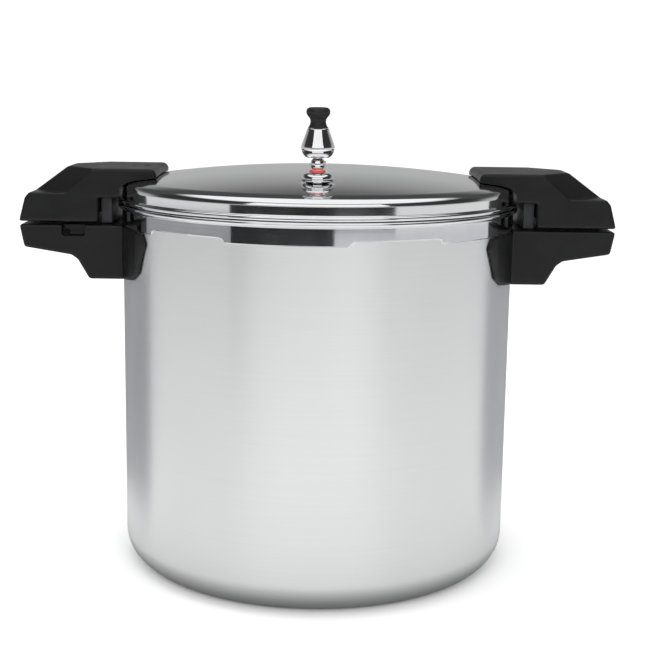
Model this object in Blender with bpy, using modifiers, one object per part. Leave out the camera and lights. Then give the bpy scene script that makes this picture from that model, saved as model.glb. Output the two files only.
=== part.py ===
"""Pressure canner: a drawn aluminium pot with a bayonet lid, two pairs of black handles,
a weighted regulator on a vent pipe, safety fittings and a rack inside.

Blender works in metres with +Z up. Every size below is in millimetres and is turned into
metres by MM. The origin is the centre of the base, on the surface that the pot stands on.
The handles lie along X and the front of the canner faces -Y.
"""
import math

import bmesh
import bpy
from mathutils import Matrix, Vector

MM = 0.001

# ---- driving dimensions, in millimetres ----
GAP = 0.3                 # clearance between pieces that touch
TURN_GAP = 0.6            # clearance between round pieces that turn against each other
ROUND_STEPS = 48          # facets round the pot, the lid and the gasket
RACK_STEPS = 36
SMALL_STEPS = 16          # facets round the small turned fittings
FASTENER_STEPS = 8
SMOOTH_ANGLE = math.radians(50)   # sharper edges than this stay sharp in the shading

POT_RADIUS = 159.0        # outside of the wall
POT_WALL = 3.2
POT_FLOOR = 4.5
POT_CORNER = 25.0         # outside radius between wall and base
RIM_TOP = 297.6
RIM_RADIUS = 162.9        # outside of the rolled rim
MOUTH_RADIUS = 152.4      # inside of the rim lip and of the locking lugs
BAND_RADIUS = 159.6       # polished band under the rim
BAND_BOTTOM = 280.5

LUG_COUNT = 6
LUG_PITCH = 360.0 / LUG_COUNT
LUG_PHASE = -8.0          # azimuth of one lug's middle
POT_LUG_WIDTH = 25.0      # degrees
LID_LUG_WIDTH = 22.0

DOME_TOP = 326.6
DOME_SAG = 11.3           # drop of the dome at DOME_SAG_RADIUS
DOME_SAG_RADIUS = 150.0
DOME_RADII = (0, 38.0, 75.0, 105.0, 130.0, 150.0)
LID_WALL = 3.0
LID_EDGE = 159.4          # upright side between the shoulder and the flange
LID_SEAT = 298.0          # underside of the lid's flange
SKIRT_RADIUS = 150.2      # outside of the skirt that drops inside the pot
SKIRT_INSIDE = 147.0
SKIRT_BOTTOM = 276.0
LID_LUG_RADIUS = MOUTH_RADIUS - TURN_GAP
GROOVE_OUTSIDE = 155.6    # groove that holds the gasket
GROOVE_TOP = 306.0

VENT_Y = -103.0           # the vent pipe stands near the front of the lid
VENT_SEAT = 320.7         # flat seat pressed into the dome for the vent
PAD_UNDERSIDE = 316.5     # flat inside the dome that the vent nut bears on
PLUG_Y = 35.0             # over-pressure plug, behind the vent
LOCK_PIN_X = 140.0        # distance of the lock pin from the middle
SIGHT_HOLE_X = 151.0      # drain hole beside the lock pin, in the left handle only

VENT_PIPE_RADIUS = 4.0
PLUG_NECK_RADIUS = 3.6
LOCK_PIN_RADIUS = 1.8
LOCK_SEAL_NECK = 3.6
RIVET_RADIUS = 2.4
RIVET_HEAD_RADIUS = 4.2
LID_RIVET_X = 137.0
LID_RIVET_Y = 17.0
SCREW_RADIUS = 2.0
SCREW_HEAD_RADIUS = 3.6

HANDLE_HALF_WIDTH = 44.0
HANDLE_END = 237.3        # farthest point of the handles from the middle
HIP_SHELF = 305.5         # height of the shelf under the sloped facets of the lid handles
LID_HANDLE_BOTTOM = 282.6
LID_HANDLE_TOP = 325.0
BODY_HANDLE_TOP = 280.2
BODY_HANDLE_BOTTOM = 237.0
SADDLE_RADIUS = 161.4     # outside of the wings that hug the wall
SADDLE_HALF_ANGLE = 36.0

RACK_RADIUS = 132.5
RACK_TOP = 20.0


# ---- scene, collections and materials ----
for old in list(bpy.data.objects):
    bpy.data.objects.remove(old, do_unlink=True)


def new_collection(name):
    """Make a collection and link it to the scene."""
    collection = bpy.data.collections.new(name)
    bpy.context.scene.collection.children.link(collection)
    return collection


PARTS = new_collection("pressure_canner")
CUTTERS = new_collection("cutters")


def new_material(name, colour, roughness, metallic):
    """A plain Principled material."""
    material = bpy.data.materials.new(name)
    material.use_nodes = True
    shader = material.node_tree.nodes["Principled BSDF"]
    shader.inputs["Base Color"].default_value = (*colour, 1.0)
    shader.inputs["Roughness"].default_value = roughness
    shader.inputs["Metallic"].default_value = metallic
    material.diffuse_color = (*colour, 1.0)
    return material


ALUMINIUM = new_material("satin_aluminium", (0.80, 0.81, 0.82), 0.32, 1.0)
POLISHED = new_material("polished_aluminium", (0.86, 0.87, 0.88), 0.10, 1.0)
PHENOLIC = new_material("black_phenolic", (0.02, 0.02, 0.022), 0.42, 0.0)
STEEL = new_material("plain_steel", (0.62, 0.62, 0.61), 0.35, 1.0)
CHROME = new_material("chromed_steel", (0.88, 0.88, 0.88), 0.06, 1.0)
CAST = new_material("coated_casting", (0.05, 0.05, 0.055), 0.50, 0.4)
GASKET_RUBBER = new_material("gasket_rubber", (0.09, 0.09, 0.09), 0.60, 0.0)
RED_SILICONE = new_material("red_silicone", (0.55, 0.05, 0.04), 0.45, 0.0)
BLACK_RUBBER = new_material("black_rubber", (0.03, 0.03, 0.03), 0.60, 0.0)


# ---- helpers ----
def add_object(name, mesh, material=None, parent=None, location=(0, 0, 0)):
    """Link a mesh as a part, or as a cutter where it has no material."""
    obj = bpy.data.objects.new(name, mesh)
    obj.location = Vector(location) * MM
    obj.parent = parent
    if material is None:
        CUTTERS.objects.link(obj)
        obj.hide_render = True
        obj.display_type = "WIRE"
    else:
        PARTS.objects.link(obj)
        mesh.materials.append(material)
    return obj


def empty(name, location=(0, 0, 0), turn=0.0):
    """An empty that carries pieces, turned about Z by degrees."""
    obj = bpy.data.objects.new(name, None)
    obj.location = Vector(location) * MM
    obj.rotation_euler = (0, 0, math.radians(turn))
    PARTS.objects.link(obj)
    return obj


def turned(name, profile, material=None, parent=None, location=(0, 0, 0), steps=SMALL_STEPS, ring=False):
    """Turn a profile of (radius, height) points round Z with a Screw modifier.

    The profile runs down its outer side. It starts and ends on the axis, or is a closed ring.
    """
    bm = bmesh.new()
    points = [bm.verts.new((r * MM, 0, z * MM)) for r, z in profile]
    for first, second in zip(points, points[1:]):
        bm.edges.new((first, second))
    if ring:
        bm.edges.new((points[-1], points[0]))
    mesh = bpy.data.meshes.new(name)
    bm.to_mesh(mesh)
    bm.free()
    guide = bpy.data.objects.new(name, mesh)
    bpy.context.scene.collection.objects.link(guide)
    screw = guide.modifiers.new("turn", "SCREW")
    screw.axis = "Z"
    screw.angle = math.tau
    screw.steps = steps
    screw.render_steps = steps
    screw.use_merge_vertices = True
    screw.merge_threshold = 0.00001
    evaluated = guide.evaluated_get(bpy.context.evaluated_depsgraph_get())
    solid = bpy.data.meshes.new_from_object(evaluated)
    bpy.data.objects.remove(guide, do_unlink=True)
    bpy.data.meshes.remove(mesh)
    solid.name = name
    solid.shade_smooth()
    solid.set_sharp_from_angle(angle=SMOOTH_ANGLE)
    return add_object(name, solid, material, parent, location)


# Where a flat outline's own x, y and thickness axes point.
PLANES = {
    "XY": Matrix(((1, 0, 0), (0, 1, 0), (0, 0, 1))).to_4x4(),
    "XZ": Matrix(((1, 0, 0), (0, 0, -1), (0, 1, 0))).to_4x4(),
    "YZ": Matrix(((0, 0, 1), (1, 0, 0), (0, 1, 0))).to_4x4(),
}


def outline_mesh(name, outline, plane, low, high):
    """Extrude a flat outline between two heights across its plane, through a filled 2D curve."""
    if plane == "XZ":
        low, high = -high, -low
    curve = bpy.data.curves.new(name, "CURVE")
    curve.dimensions = "2D"
    curve.fill_mode = "BOTH"
    curve.extrude = (high - low) / 2 * MM
    spline = curve.splines.new("POLY")
    spline.points.add(len(outline) - 1)
    for point, (a, b) in zip(spline.points, outline):
        point.co = (a * MM, b * MM, 0, 1)
    spline.use_cyclic_u = True
    guide = bpy.data.objects.new(name, curve)
    bpy.context.scene.collection.objects.link(guide)
    evaluated = guide.evaluated_get(bpy.context.evaluated_depsgraph_get())
    mesh = bpy.data.meshes.new_from_object(evaluated)
    bpy.data.objects.remove(guide, do_unlink=True)
    bpy.data.curves.remove(curve)
    mesh.transform(PLANES[plane] @ Matrix.Translation((0, 0, (low + high) / 2 * MM)))
    bm = bmesh.new()
    bm.from_mesh(mesh)
    bmesh.ops.remove_doubles(bm, verts=bm.verts, dist=0.00001)
    bmesh.ops.dissolve_limit(bm, angle_limit=0.001, verts=bm.verts, edges=bm.edges)
    bmesh.ops.recalc_face_normals(bm, faces=bm.faces)
    bm.to_mesh(mesh)
    bm.free()
    mesh.name = name
    return mesh


def slab(name, outline, plane, low, high, material=None, parent=None, location=(0, 0, 0)):
    """A flat outline with thickness, as an object."""
    return add_object(name, outline_mesh(name, outline, plane, low, high), material, parent, location)


def box_mesh(name, low, high):
    """A box between two corners."""
    low = Vector(low) * MM
    high = Vector(high) * MM
    bm = bmesh.new()
    bmesh.ops.create_cube(bm, size=1.0)
    bmesh.ops.scale(bm, vec=high - low, verts=bm.verts)
    bmesh.ops.translate(bm, vec=(low + high) / 2, verts=bm.verts)
    mesh = bpy.data.meshes.new(name)
    bm.to_mesh(mesh)
    bm.free()
    return mesh


def rod_mesh(name, radius, foot, head, sides=12):
    """A cylinder from one point to another."""
    foot = Vector(foot) * MM
    head = Vector(head) * MM
    along = head - foot
    turn = along.to_track_quat("Z", "Y").to_matrix().to_4x4()
    bm = bmesh.new()
    bmesh.ops.create_cone(
        bm, cap_ends=True, segments=sides, radius1=radius * MM, radius2=radius * MM, depth=along.length
    )
    bmesh.ops.transform(bm, matrix=Matrix.Translation((foot + head) / 2) @ turn, verts=bm.verts)
    mesh = bpy.data.meshes.new(name)
    bm.to_mesh(mesh)
    bm.free()
    return mesh


def cutter(name, meshes, parent=None):
    """Gather separate closed meshes into one cutter."""
    bm = bmesh.new()
    for mesh in meshes:
        bm.from_mesh(mesh)
        bpy.data.meshes.remove(mesh)
    joined = bpy.data.meshes.new(name)
    bm.to_mesh(joined)
    bm.free()
    return add_object(name, joined, parent=parent)


def boolean(obj, other, operation):
    """Add a Boolean modifier with the exact solver."""
    modifier = obj.modifiers.new(operation.lower() + "_" + other.name, "BOOLEAN")
    modifier.operation = operation
    modifier.object = other
    modifier.solver = "EXACT"


def cut(obj, other):
    boolean(obj, other, "DIFFERENCE")


def unite(obj, other):
    boolean(obj, other, "UNION")


def bevel(obj, width, segments=2, angle=30.0):
    """Round the edges that turn by more than an angle."""
    modifier = obj.modifiers.new("round_edges", "BEVEL")
    modifier.width = width * MM
    modifier.segments = segments
    modifier.limit_method = "ANGLE"
    modifier.angle_limit = math.radians(angle)
    modifier.harden_normals = False


def arc(centre, radius, start, end, count):
    """Points along an arc, angles in degrees, both ends included."""
    points = []
    for index in range(count + 1):
        angle = math.radians(start + (end - start) * index / count)
        points.append((centre[0] + radius * math.cos(angle), centre[1] + radius * math.sin(angle)))
    return points


def dome_height(radius):
    """Height of the lid's outside at a distance from the middle."""
    return DOME_TOP - DOME_SAG * (radius / DOME_SAG_RADIUS) ** 2


def dome_slope(radius):
    """Angle of the dome from level, in radians."""
    return math.atan(2 * DOME_SAG * radius / DOME_SAG_RADIUS**2)


def ring_sector(name, inside, outside, middle, width, low, high, count=6):
    """A curved block: part of a ring, between two heights."""
    half = width / 2
    outline = arc((0, 0), inside, middle - half, middle + half, count)
    outline += arc((0, 0), outside, middle + half, middle - half, count)
    return outline_mesh(name, outline, "XY", low, high)


def lug_gaps(name, inside, outside, lug_width, low, high):
    """The spaces between the locking lugs, as one cutter."""
    gap_width = LUG_PITCH - lug_width
    sectors = []
    for index in range(LUG_COUNT):
        middle = LUG_PHASE + LUG_PITCH * (index + 0.5)
        sectors.append(ring_sector(name, inside, outside, middle, gap_width, low, high))
    return cutter(name, sectors)


# ---- pot ----
POT_INSIDE = POT_RADIUS - POT_WALL
RIVET_Y = 22.0
RIVET_Z = 252.0


def make_pot():
    """The drawn pot with its rolled rim, polished band and inward locking lugs."""
    inner_corner = POT_CORNER - POT_WALL
    profile = [(0, POT_FLOOR)]
    profile += arc((POT_INSIDE - inner_corner, POT_FLOOR + inner_corner), inner_corner, -90, 0, 4)
    profile += [(POT_INSIDE, 281.0), (MOUTH_RADIUS, 284.0), (MOUTH_RADIUS, 288.6), (POT_INSIDE, 291.4)]
    profile += [(MOUTH_RADIUS, 294.8), (MOUTH_RADIUS, RIM_TOP)]
    rim_bead = 1.9
    profile += arc((RIM_RADIUS - rim_bead, RIM_TOP - rim_bead), rim_bead, 90, -90, 4)
    profile += [(BAND_RADIUS, 293.0), (BAND_RADIUS, BAND_BOTTOM + 1.2), (POT_RADIUS, BAND_BOTTOM)]
    profile += arc((POT_RADIUS - POT_CORNER, POT_CORNER), POT_CORNER, 0, -90, 5)
    profile += [(118.0, 0), (116.0, 1.0), (0, 1.0)]
    pot = turned("pot_body", profile, ALUMINIUM, steps=ROUND_STEPS)
    cut(pot, lug_gaps("pot_lug_gaps", MOUTH_RADIUS - 3, POT_INSIDE + 0.15, POT_LUG_WIDTH, 280.6, 291.5))
    holes = []
    for side in (1, -1):
        for y in (RIVET_Y, -RIVET_Y):
            foot = (side * (POT_INSIDE - 6), y, RIVET_Z)
            head = (side * (POT_RADIUS + 4), y, RIVET_Z)
            holes.append(rod_mesh("rivet_hole", RIVET_RADIUS + GAP, foot, head))
    cut(pot, cutter("pot_rivet_holes", holes))
    return pot


# ---- lid ----
def make_lid(carrier):
    """The lid: dome, rounded shoulder, flange, gasket groove and skirt with outward lugs."""
    profile = [(radius, dome_height(radius)) for radius in DOME_RADII]
    profile += [(155.6, 313.5), (158.3, 311.7), (LID_EDGE, 308.8)]
    profile += [(LID_EDGE, 302.0), (161.0, 301.4), (162.0, 300.0), (160.8, LID_SEAT)]
    profile += [(GROOVE_OUTSIDE, LID_SEAT), (GROOVE_OUTSIDE, GROOVE_TOP), (SKIRT_RADIUS, GROOVE_TOP)]
    profile += [(SKIRT_RADIUS, 283.0), (LID_LUG_RADIUS, 282.0), (LID_LUG_RADIUS, 278.4)]
    profile.append((SKIRT_RADIUS, 277.4))
    profile += [(SKIRT_RADIUS - 0.6, SKIRT_BOTTOM), (SKIRT_INSIDE, SKIRT_BOTTOM), (SKIRT_INSIDE, 309.0)]
    profile += [(radius, dome_height(radius) - LID_WALL) for radius in (143.0, 110.0, 75.0, 38.0, 0)]
    lid = turned("lid_shell", profile, POLISHED, carrier, steps=ROUND_STEPS)
    pad = rod_mesh("pad", 13.0, (0, VENT_Y, PAD_UNDERSIDE), (0, VENT_Y, VENT_SEAT + 0.7), 24)
    unite(lid, cutter("vent_seat_pad", [pad], carrier))
    lug_cutter = lug_gaps("lid_lug_gaps", SKIRT_RADIUS - 0.15, MOUTH_RADIUS + 2, LID_LUG_WIDTH, 277.2, 283.2)
    lug_cutter.parent = carrier
    cut(lid, lug_cutter)
    seat_face = rod_mesh("seat_face", 12.6, (0, VENT_Y, VENT_SEAT), (0, VENT_Y, 330), 24)
    cut(lid, cutter("vent_seat_face", [seat_face], carrier))
    holes = [
        rod_mesh("vent_hole", VENT_PIPE_RADIUS + GAP, (0, VENT_Y, 300), (0, VENT_Y, 330)),
        rod_mesh("plug_hole", PLUG_NECK_RADIUS + GAP, (0, PLUG_Y, 300), (0, PLUG_Y, 335)),
        rod_mesh("pin_hole", LOCK_SEAL_NECK + GAP, (-LOCK_PIN_X, 0, 300), (-LOCK_PIN_X, 0, 330)),
    ]
    for side in (1, -1):
        for y in (LID_RIVET_Y, -LID_RIVET_Y):
            foot, head = lid_rivet_axis(side, y, -12, 12)
            holes.append(rod_mesh("rivet_hole", RIVET_RADIUS + GAP, foot, head))
    cut(lid, cutter("lid_holes", holes, carrier))
    return lid


def lid_rivet_axis(side, y, below, above):
    """Two points on the axis of a lid rivet, square to the dome."""
    radius = math.hypot(LID_RIVET_X, y)
    slope = dome_slope(radius)
    outward = Vector((side * LID_RIVET_X, y, 0)).normalized()
    normal = outward * math.sin(slope) + Vector((0, 0, math.cos(slope)))
    middle = Vector((side * LID_RIVET_X, y, dome_height(radius)))
    return middle + normal * below, middle + normal * above


def make_gasket(carrier):
    """The rubber ring in the lid's groove, resting on the lip of the rim."""
    inside = SKIRT_RADIUS + TURN_GAP
    outside = GROOVE_OUTSIDE - TURN_GAP
    low = RIM_TOP + GAP
    top = GROOVE_TOP - GAP
    profile = [(inside, top), (outside - 0.8, top), (outside, top - 1.5)]
    profile += [(outside, low + 1.2), (outside - 0.8, low), (inside, low)]
    return turned("lid_gasket", profile, GASKET_RUBBER, carrier, steps=ROUND_STEPS, ring=True)


def lid_envelope(name, parent):
    """The space of the lid and the rim, which the handle pieces are cut back from."""
    clear = 0.35
    profile = [(radius, dome_height(radius) + clear) for radius in DOME_RADII]
    profile += [(156.2, 314.0), (160.0, 312.4), (161.6, 310.6), (163.4, 308.0), (163.4, 270.0), (0, 270.0)]
    return turned(name, profile, parent=parent, steps=ROUND_STEPS)


# ---- lid handles ----
ARM_END = 127.8           # inner end of the arm, over the dome
BRACKET_HALF_WIDTH = 35.0
BRACKET_FOOT_IN = 131.2
BRACKET_LEG_IN = 164.2
BRACKET_LEG_OUT = 173.0
BRACKET_BOTTOM = 281.2
TOE_LOW = 287.0
TOE_HIGH = 290.0
LID_SCREW_X = 181.0
LID_SCREW_Y = 14.0
CELL_TOP = 300.0          # roof of the hollow cells under the grips


def make_lid_handle(side, carrier):
    """A hollow phenolic grip with a broad arm that lies on the lid."""
    name = "lid_handle_" + side
    outline = [
        (ARM_END, 310.0), (ARM_END, 322.0), (ARM_END + 3.0, LID_HANDLE_TOP), (202.0, LID_HANDLE_TOP),
        (229.2, 305.2), (232.4, 301.2), (HANDLE_END, LID_HANDLE_BOTTOM), (174.0, LID_HANDLE_BOTTOM),
        (174.0, 302.0), (150.0, 302.0),
    ]
    half = HANDLE_HALF_WIDTH
    handle = slab(name, outline, "XZ", -half, half, PHENOLIC, carrier)
    bevel(handle, 1.6)
    for sign, end_name in ((1, "_hip_a"), (-1, "_hip_b")):
        cut(handle, hip_cutter(name + end_name, sign, carrier))
    cut(handle, lid_envelope(name + "_lid_space", carrier))
    hollows = []
    for sign in (1, -1):
        low, high = sorted((sign * 3.0, sign * (half - 5.0)))
        cell = [(193.0, 280.0), (193.0, CELL_TOP), (227.0, CELL_TOP), (231.5, 280.0)]
        hollows.append(outline_mesh("cell", cell, "XZ", low, high))
    channel = [(ARM_END + 2.8, 305.0), (ARM_END + 2.8, 322.0), (160.0, 320.2), (173.5, 320.2)]
    channel += [(173.5, 292.0), (189.0, 292.0), (189.0, 280.0), (160.0, 280.0), (160.0, 305.0)]
    width = BRACKET_HALF_WIDTH + 0.6
    hollows.append(outline_mesh("channel", channel, "XZ", -width, width))
    cut(handle, cutter(name + "_hollows", hollows, carrier))
    holes = []
    for y in (LID_SCREW_Y, -LID_SCREW_Y):
        foot = (LID_SCREW_X, y, 285)
        holes.append(rod_mesh("screw_hole", SCREW_RADIUS + GAP, foot, (LID_SCREW_X, y, 304), 8))
    if side == "left":
        foot = (LOCK_PIN_X, 0, 318)
        holes.append(rod_mesh("pin_hole", LOCK_PIN_RADIUS + 1.0, foot, (LOCK_PIN_X, 0, 330), 12))
        foot = (SIGHT_HOLE_X, 0, 322.8)
        holes.append(rod_mesh("sight_hole", 1.6, foot, (SIGHT_HOLE_X, 0, 330), 12))
    cut(handle, cutter(name + "_holes", holes, carrier))
    return handle


def hip_cutter(name, sign, carrier):
    """A wedge that slopes the top of the grip's outer end down to one side, above a narrow shelf."""
    half = HANDLE_HALF_WIDTH
    ridge_inner = Vector((203.0, sign * 16.0, LID_HANDLE_TOP))
    front_top = Vector((176.5, sign * half, LID_HANDLE_TOP))
    front_low = Vector((198.0, sign * half, HIP_SHELF + 1.0))
    normal = (front_top - ridge_inner).cross(front_low - ridge_inner)
    if normal.z < 0:
        normal = -normal
    normal.normalize()
    mesh = box_mesh(name, (-80, -80, 0), (80, 80, 60))
    turn = normal.to_track_quat("Z", "Y").to_matrix().to_4x4()
    mesh.transform(Matrix.Translation(ridge_inner * MM) @ turn)
    bm = bmesh.new()
    bm.from_mesh(mesh)
    shelf = (0, 0, HIP_SHELF * MM)
    geometry = bm.verts[:] + bm.edges[:] + bm.faces[:]
    bmesh.ops.bisect_plane(bm, geom=geometry, plane_co=shelf, plane_no=(0, 0, 1), clear_inner=True)
    bmesh.ops.holes_fill(bm, edges=[edge for edge in bm.edges if edge.is_boundary])
    bm.to_mesh(mesh)
    bm.free()
    return add_object(name, mesh, parent=carrier)


def make_lid_bracket(side, carrier):
    """A cast bracket: a foot on the dome, a leg outside the rim and a toe for the screws."""
    name = "lid_bracket_" + side
    outline = [
        (BRACKET_FOOT_IN, 306.0), (BRACKET_FOOT_IN, 321.3), (160.0, 319.6), (BRACKET_LEG_OUT, 319.6),
        (BRACKET_LEG_OUT, TOE_HIGH),
        (188.0, TOE_HIGH), (188.0, TOE_LOW), (BRACKET_LEG_OUT, TOE_LOW), (BRACKET_LEG_OUT, BRACKET_BOTTOM),
        (BRACKET_LEG_IN, BRACKET_BOTTOM), (BRACKET_LEG_IN, 306.0),
    ]
    width = BRACKET_HALF_WIDTH
    bracket = slab(name, outline, "XZ", -width, width, CAST, carrier)
    cut(bracket, lid_envelope(name + "_lid_space", carrier))
    holes = []
    for y in (LID_SCREW_Y, -LID_SCREW_Y):
        foot = (LID_SCREW_X, y, 284)
        holes.append(rod_mesh("screw_hole", SCREW_RADIUS + GAP, foot, (LID_SCREW_X, y, 293), 8))
    for y in (LID_RIVET_Y, -LID_RIVET_Y):
        foot, head = lid_rivet_axis(1, y, -8, 14)
        holes.append(rod_mesh("rivet_hole", RIVET_RADIUS + GAP, foot, head))
    if side == "left":
        holes.append(rod_mesh("pin_hole", LOCK_SEAL_NECK + 2.4, (LOCK_PIN_X, 0, 300), (LOCK_PIN_X, 0, 330)))
    cut(bracket, cutter(name + "_holes", holes, carrier))
    return bracket


# ---- body handles ----
PLATE_RADIUS = POT_RADIUS + 2.4   # outside of the bracket plate that hugs the wall
PLATE_HALF_ANGLE = 10.5
TONGUE_LOW = 262.0
TONGUE_HIGH = 265.0
TONGUE_HALF_WIDTH = 19.0
BODY_SCREW_X = 178.0
BODY_SCREW_Y = 12.0


def wall_envelope(name, parent):
    """The space of the pot's wall, which the body handle pieces are cut back from."""
    clear = POT_RADIUS + GAP
    profile = [(0, 282.0), (clear, 282.0), (clear, 230.0), (0, 230.0)]
    return turned(name, profile, parent=parent, steps=ROUND_STEPS)


def make_body_handle(side, carrier):
    """A phenolic grip that is deep against the wall, with wings that hug the pot."""
    name = "body_handle_" + side
    top = BODY_HANDLE_TOP
    low = BODY_HANDLE_BOTTOM
    outline = [
        (150.0, low), (182.0, low), (191.0, 252.6), (196.0, 256.2), (233.5, 262.2), (HANDLE_END - 0.3, top),
        (150.0, top),
    ]
    half = HANDLE_HALF_WIDTH
    handle = slab(name, outline, "XZ", -half, half, PHENOLIC, carrier)
    bevel(handle, 1.6)
    ring = ring_sector(name, 149.0, SADDLE_RADIUS, 0.0, 2 * SADDLE_HALF_ANGLE, low, top, 12)
    wings = cutter(name + "_wings", [ring], carrier)
    edge = [(-48.0, low + 0.6), (48.0, low + 0.6), (72.0, 240.6), (83.0, 247.5), (93.0, 271.5)]
    edge += [(89.0, top - 0.6), (-89.0, top - 0.6), (-93.0, 271.5), (-83.0, 247.5), (-72.0, 240.6)]
    boolean(wings, slab(name + "_wing_edge", edge, "YZ", 120.0, 170.0, parent=carrier), "INTERSECT")
    unite(handle, wings)
    cut(handle, wall_envelope(name + "_wall_space", carrier))
    hollows = []
    for sign in (1, -1):
        near, far = sorted((sign * 3.0, sign * (half - 5.0)))
        hollows.append(box_mesh("cell", (199.0, near, 248.0), (229.5, far, 276.4)))
    plate_width = 2 * PLATE_HALF_ANGLE + 1.0
    hollows.append(ring_sector("plate_seat", 154.0, PLATE_RADIUS + 0.4, 0.0, plate_width, 243.0, 277.0))
    cut(handle, cutter(name + "_hollows", hollows, carrier))
    slots = [box_mesh("tongue_slot", (157.0, -20.0, TONGUE_LOW - 0.5), (187.0, 20.0, TONGUE_HIGH + 0.5))]
    for y in (RIVET_Y, -RIVET_Y):
        slots.append(rod_mesh("rivet_room", 5.0, (155.0, y, RIVET_Z), (166.5, y, RIVET_Z)))
    cut(handle, cutter(name + "_slots", slots, carrier))
    holes = []
    for y in (BODY_SCREW_Y, -BODY_SCREW_Y):
        foot = (BODY_SCREW_X, y, 239)
        holes.append(rod_mesh("screw_hole", SCREW_RADIUS + GAP, foot, (BODY_SCREW_X, y, 274), 8))
    cut(handle, cutter(name + "_holes", holes, carrier))
    sinks = []
    for y in (BODY_SCREW_Y, -BODY_SCREW_Y):
        sinks.append(rod_mesh("screw_sink", 4.4, (BODY_SCREW_X, y, 230), (BODY_SCREW_X, y, 242), 16))
    cut(handle, cutter(name + "_sinks", sinks, carrier))
    if side == "left":
        catch = box_mesh("catch", (185, 36, 271.5), (203, 46, 284))
        cut(handle, cutter(name + "_catch_slot", [catch], carrier))
    return handle


def make_body_bracket(side, carrier):
    """A steel plate riveted to the wall, with a tongue that the handle's screws go into."""
    name = "body_bracket_" + side
    plate = ring_sector(name, POT_RADIUS + GAP, PLATE_RADIUS, 0.0, 2 * PLATE_HALF_ANGLE, 244.0, 276.0)
    bracket = add_object(name, plate, STEEL, carrier)
    tongue_half = TONGUE_HALF_WIDTH
    low = (160.6, -tongue_half, TONGUE_LOW)
    high = (186.0, tongue_half, TONGUE_HIGH)
    unite(bracket, cutter(name + "_tongue", [box_mesh("tongue", low, high)], carrier))
    holes = []
    for y in (BODY_SCREW_Y, -BODY_SCREW_Y):
        foot = (BODY_SCREW_X, y, 258)
        holes.append(rod_mesh("screw_hole", SCREW_RADIUS + GAP, foot, (BODY_SCREW_X, y, 270), 8))
    for y in (RIVET_Y, -RIVET_Y):
        holes.append(rod_mesh("rivet_hole", RIVET_RADIUS + GAP, (150, y, RIVET_Z), (168, y, RIVET_Z)))
    cut(bracket, cutter(name + "_holes", holes, carrier))
    return bracket


# ---- fasteners ----
def make_screw(name, carrier, location, length, head_height=2.4):
    """A round-headed screw that points up, with its head's underside at the location."""
    head = SCREW_HEAD_RADIUS
    profile = [
        (0, length), (SCREW_RADIUS, length - 1.2), (SCREW_RADIUS, 0), (head, 0), (head, -head_height * 0.5),
        (head * 0.7, -head_height), (0, -head_height),
    ]
    return turned(name, profile, STEEL, carrier, location, steps=FASTENER_STEPS)


def make_rivet(name, carrier, location, rotation, shank, tail):
    """A rivet along its own Z: a domed head below zero, a shank, and a tail head where asked."""
    profile = [(0, shank)]
    if tail:
        profile = [(0, shank + 1.4), (2.4, shank + 1.2), (3.8, shank), (RIVET_RADIUS, shank)]
    else:
        profile.append((RIVET_RADIUS, shank))
    profile += [(RIVET_RADIUS, 0), (RIVET_HEAD_RADIUS, 0), (RIVET_HEAD_RADIUS * 0.8, -1.1), (0, -1.6)]
    rivet = turned(name, profile, STEEL, carrier, location, steps=FASTENER_STEPS)
    rivet.rotation_mode = "QUATERNION"
    rivet.rotation_quaternion = rotation
    return rivet


def make_fasteners(side, body_side, lid_side):
    """Screws and rivets of one pair of handles."""
    for number, sign in ((1, 1), (2, -1)):
        suffix = "_%s_%d" % (side, number)
        make_screw("lid_screw" + suffix, lid_side, (LID_SCREW_X, sign * LID_SCREW_Y, TOE_LOW - GAP), 15.0)
        make_screw("body_screw" + suffix, body_side, (BODY_SCREW_X, sign * BODY_SCREW_Y, 242.0 - GAP), 30.0)
        inside = math.sqrt((POT_INSIDE - 0.3) ** 2 - (RIVET_Y + RIVET_HEAD_RADIUS) ** 2) - GAP
        outside = PLATE_RADIUS + GAP
        outward = Vector((1, 0, 0)).to_track_quat("Z", "Y")
        place = (inside, sign * RIVET_Y, RIVET_Z)
        make_rivet("body_rivet" + suffix, body_side, place, outward, outside - inside, True)
        foot, head = lid_rivet_axis(1, sign * LID_RIVET_Y, -LID_WALL - GAP - 0.2, 2.6)
        normal = (head - foot).to_track_quat("Z", "Y")
        make_rivet("lid_rivet" + suffix, lid_side, foot, normal, (head - foot).length, False)


# ---- vent and regulator ----
def make_vent(carrier):
    """Vent pipe, the polished base that clamps it, its red seal and the nut inside the lid."""
    vent = empty("vent_axis", (0, VENT_Y, 0))
    vent.parent = carrier
    bore = 1.5
    pipe = [
        (bore, 346.0), (2.2, 346.0), (3.3, 341.5), (3.6, 340.0), (4.9, 337.6), (5.45, 335.0), (4.9, 332.4),
        (VENT_PIPE_RADIUS, 331.2), (VENT_PIPE_RADIUS, 305.0), (bore, 305.0),
    ]
    turned("vent_pipe", pipe, CHROME, vent, ring=True)
    inside = VENT_PIPE_RADIUS + GAP
    base = [
        (inside, 328.0), (8.2, 328.4), (10.4, 327.2), (11.7, 325.4), (12.0, 324.0), (11.4, 322.6),
        (9.6, 321.2), (8.8, VENT_SEAT + GAP), (inside, VENT_SEAT + GAP),
    ]
    turned("vent_base", base, CHROME, vent, ring=True)
    seal = [(inside, 330.4), (5.6, 330.4), (6.2, 329.8), (6.2, 328.8), (inside, 328.3)]
    turned("vent_seal", seal, RED_SILICONE, vent, ring=True)
    nut_top = PAD_UNDERSIDE - GAP
    hexagon = rod_mesh("vent_nut", 9.2, (0, 0, nut_top - 6.0), (0, 0, nut_top), 6)
    nut = add_object("vent_nut", hexagon, STEEL, vent)
    cut(nut, cutter("vent_nut_hole", [rod_mesh("hole", inside, (0, 0, 300), (0, 0, 330))], vent))


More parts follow.
